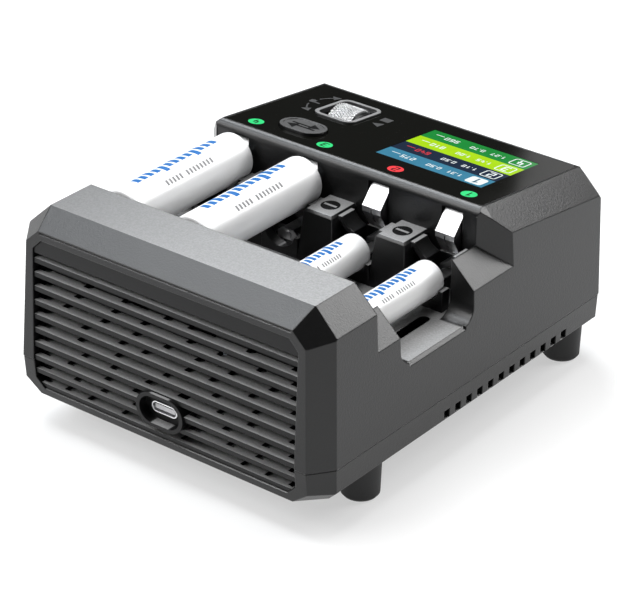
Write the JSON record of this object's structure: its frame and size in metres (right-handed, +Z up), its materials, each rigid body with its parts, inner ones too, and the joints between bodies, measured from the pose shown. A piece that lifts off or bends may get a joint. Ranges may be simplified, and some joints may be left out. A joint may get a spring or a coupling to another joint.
{
  "type": "aa battery charger",
  "caption": "Desktop charger for AA and AAA cells with a sloping display panel, open cell bays, rear louvred grille and round feet.",
  "frame": {"origin": "middle of the footprint on the standing surface, under the feet", "axes": "+Z up, -Y towards the user's side with the display, +Y towards the rear with the grille, -X to the user's left where bay 1 is"},
  "size_m": [0.11, 0.1378, 0.0663],
  "materials": {
    "case_plastic": "fine spark-eroded charcoal",
    "grille_plastic": "fine spark-eroded charcoal",
    "gloss_black": "polished black",
    "screen": "lit colour screen behind a clear window",
    "light_green": "lit green window",
    "light_red": "lit red window",
    "satin_silver": "satin silver",
    "wheel_metal": "bright turned",
    "button_plastic": "satin dark grey",
    "contact_metal": "nickel plated",
    "steel": "plain",
    "cell_wrap": "white sleeve",
    "board_green": "solder mask",
    "black_plastic": "moulded black",
    "alu_fins": "extruded",
    "foot_rubber": "dark rubber"
  },
  "bodies": {
    "charger": {"upper_case": "case_plastic", "lower_case": "case_plastic", "rear_grille": "grille_plastic", "display_panel": "gloss_black", "screen_module": "screen", "light_window_1": "light_green", "light_window_2": "light_red", "light_window_3": "light_green", "light_window_4": "light_green", "wheel_bezel": "satin_silver", "usb_socket": "steel", "usb_tongue": "black_plastic", "main_board": "board_green", "display_board": "board_green", "button_switch": "black_plastic", "wheel_switch": "black_plastic", "switch_strap": "steel", "positive_contact_1": "contact_metal", "positive_contact_2": "contact_metal", "positive_contact_3": "contact_metal", "positive_contact_4": "contact_metal", "cell_bay_1": "cell_wrap", "cell_bay_2": "cell_wrap", "cell_bay_3": "cell_wrap", "cell_bay_4": "cell_wrap", "fan_frame": "black_plastic", "heat_sink": "alu_fins", "buzzer": "black_plastic", "case_screws": "steel", "foot_1": "foot_rubber", "foot_2": "foot_rubber", "foot_3": "foot_rubber", "foot_4": "foot_rubber"},
    "fan_rotor": {"fan_rotor": "black_plastic"},
    "oval_button": {"oval_button": "button_plastic"},
    "wheel_cradle": {"wheel_cradle": "black_plastic", "wheel_axle": "steel"},
    "thumb_wheel": {"thumb_wheel": "wheel_metal"},
    "aa_contact_1": {"aa_contact_1": "contact_metal"},
    "aaa_contact_1": {"aaa_contact_1": "contact_metal"},
    "aa_contact_2": {"aa_contact_2": "contact_metal"},
    "aaa_contact_2": {"aaa_contact_2": "contact_metal"},
    "aa_contact_3": {"aa_contact_3": "contact_metal"},
    "aaa_contact_3": {"aaa_contact_3": "contact_metal"},
    "aa_contact_4": {"aa_contact_4": "contact_metal"},
    "aaa_contact_4": {"aaa_contact_4": "contact_metal"}
  },
  "joints": [
    {"name": "fan_spin", "type": "hinge", "parent": "charger", "child": "fan_rotor", "pos_m": [0, 0.0525, 0.0435], "axis": [0, 1, 0], "continuous": true},
    {"name": "button_press", "type": "slide", "parent": "charger", "child": "oval_button", "axis": [0, 0.1217, -0.9926], "range_m": [0, 0.0006], "stiffness_N_per_m": 2000, "springref_m": -0.0005},
    {"name": "wheel_press", "type": "slide", "parent": "charger", "child": "wheel_cradle", "axis": [0, 0.1217, -0.9926], "range_m": [0, 0.0005], "stiffness_N_per_m": 3000, "springref_m": -0.0005},
    {"name": "wheel_turn", "type": "hinge", "parent": "wheel_cradle", "child": "thumb_wheel", "pos_m": [0.0252, -0.04569, 0.05706], "axis": [1, 0, 0], "continuous": true},
    {"name": "aa_contact_1_spring", "type": "slide", "parent": "charger", "child": "aa_contact_1", "axis": [0, -1, 0], "range_m": [0, 0.0016], "stiffness_N_per_m": 1500, "springref_m": -0.0005},
    {"name": "aaa_contact_1_spring", "type": "slide", "parent": "charger", "child": "aaa_contact_1", "axis": [0, -1, 0], "range_m": [0, 0.0008], "stiffness_N_per_m": 1500, "springref_m": -0.0005},
    {"name": "aa_contact_2_spring", "type": "slide", "parent": "charger", "child": "aa_contact_2", "axis": [0, -1, 0], "range_m": [0, 0.0016], "stiffness_N_per_m": 1500, "springref_m": -0.0005},
    {"name": "aaa_contact_2_spring", "type": "slide", "parent": "charger", "child": "aaa_contact_2", "axis": [0, -1, 0], "range_m": [0, 0.0008], "stiffness_N_per_m": 1500, "springref_m": -0.0005},
    {"name": "aa_contact_3_spring", "type": "slide", "parent": "charger", "child": "aa_contact_3", "axis": [0, -1, 0], "range_m": [0, 0.0003], "stiffness_N_per_m": 1500, "springref_m": -0.0022},
    {"name": "aaa_contact_3_spring", "type": "slide", "parent": "charger", "child": "aaa_contact_3", "axis": [0, -1, 0], "range_m": [0, 0.0008], "stiffness_N_per_m": 1500, "springref_m": -0.0005},
    {"name": "aa_contact_4_spring", "type": "slide", "parent": "charger", "child": "aa_contact_4", "axis": [0, -1, 0], "range_m": [0, 0.0003], "stiffness_N_per_m": 1500, "springref_m": -0.0022},
    {"name": "aaa_contact_4_spring", "type": "slide", "parent": "charger", "child": "aaa_contact_4", "axis": [0, -1, 0], "range_m": [0, 0.0008], "stiffness_N_per_m": 1500, "springref_m": -0.0005}
  ]
}
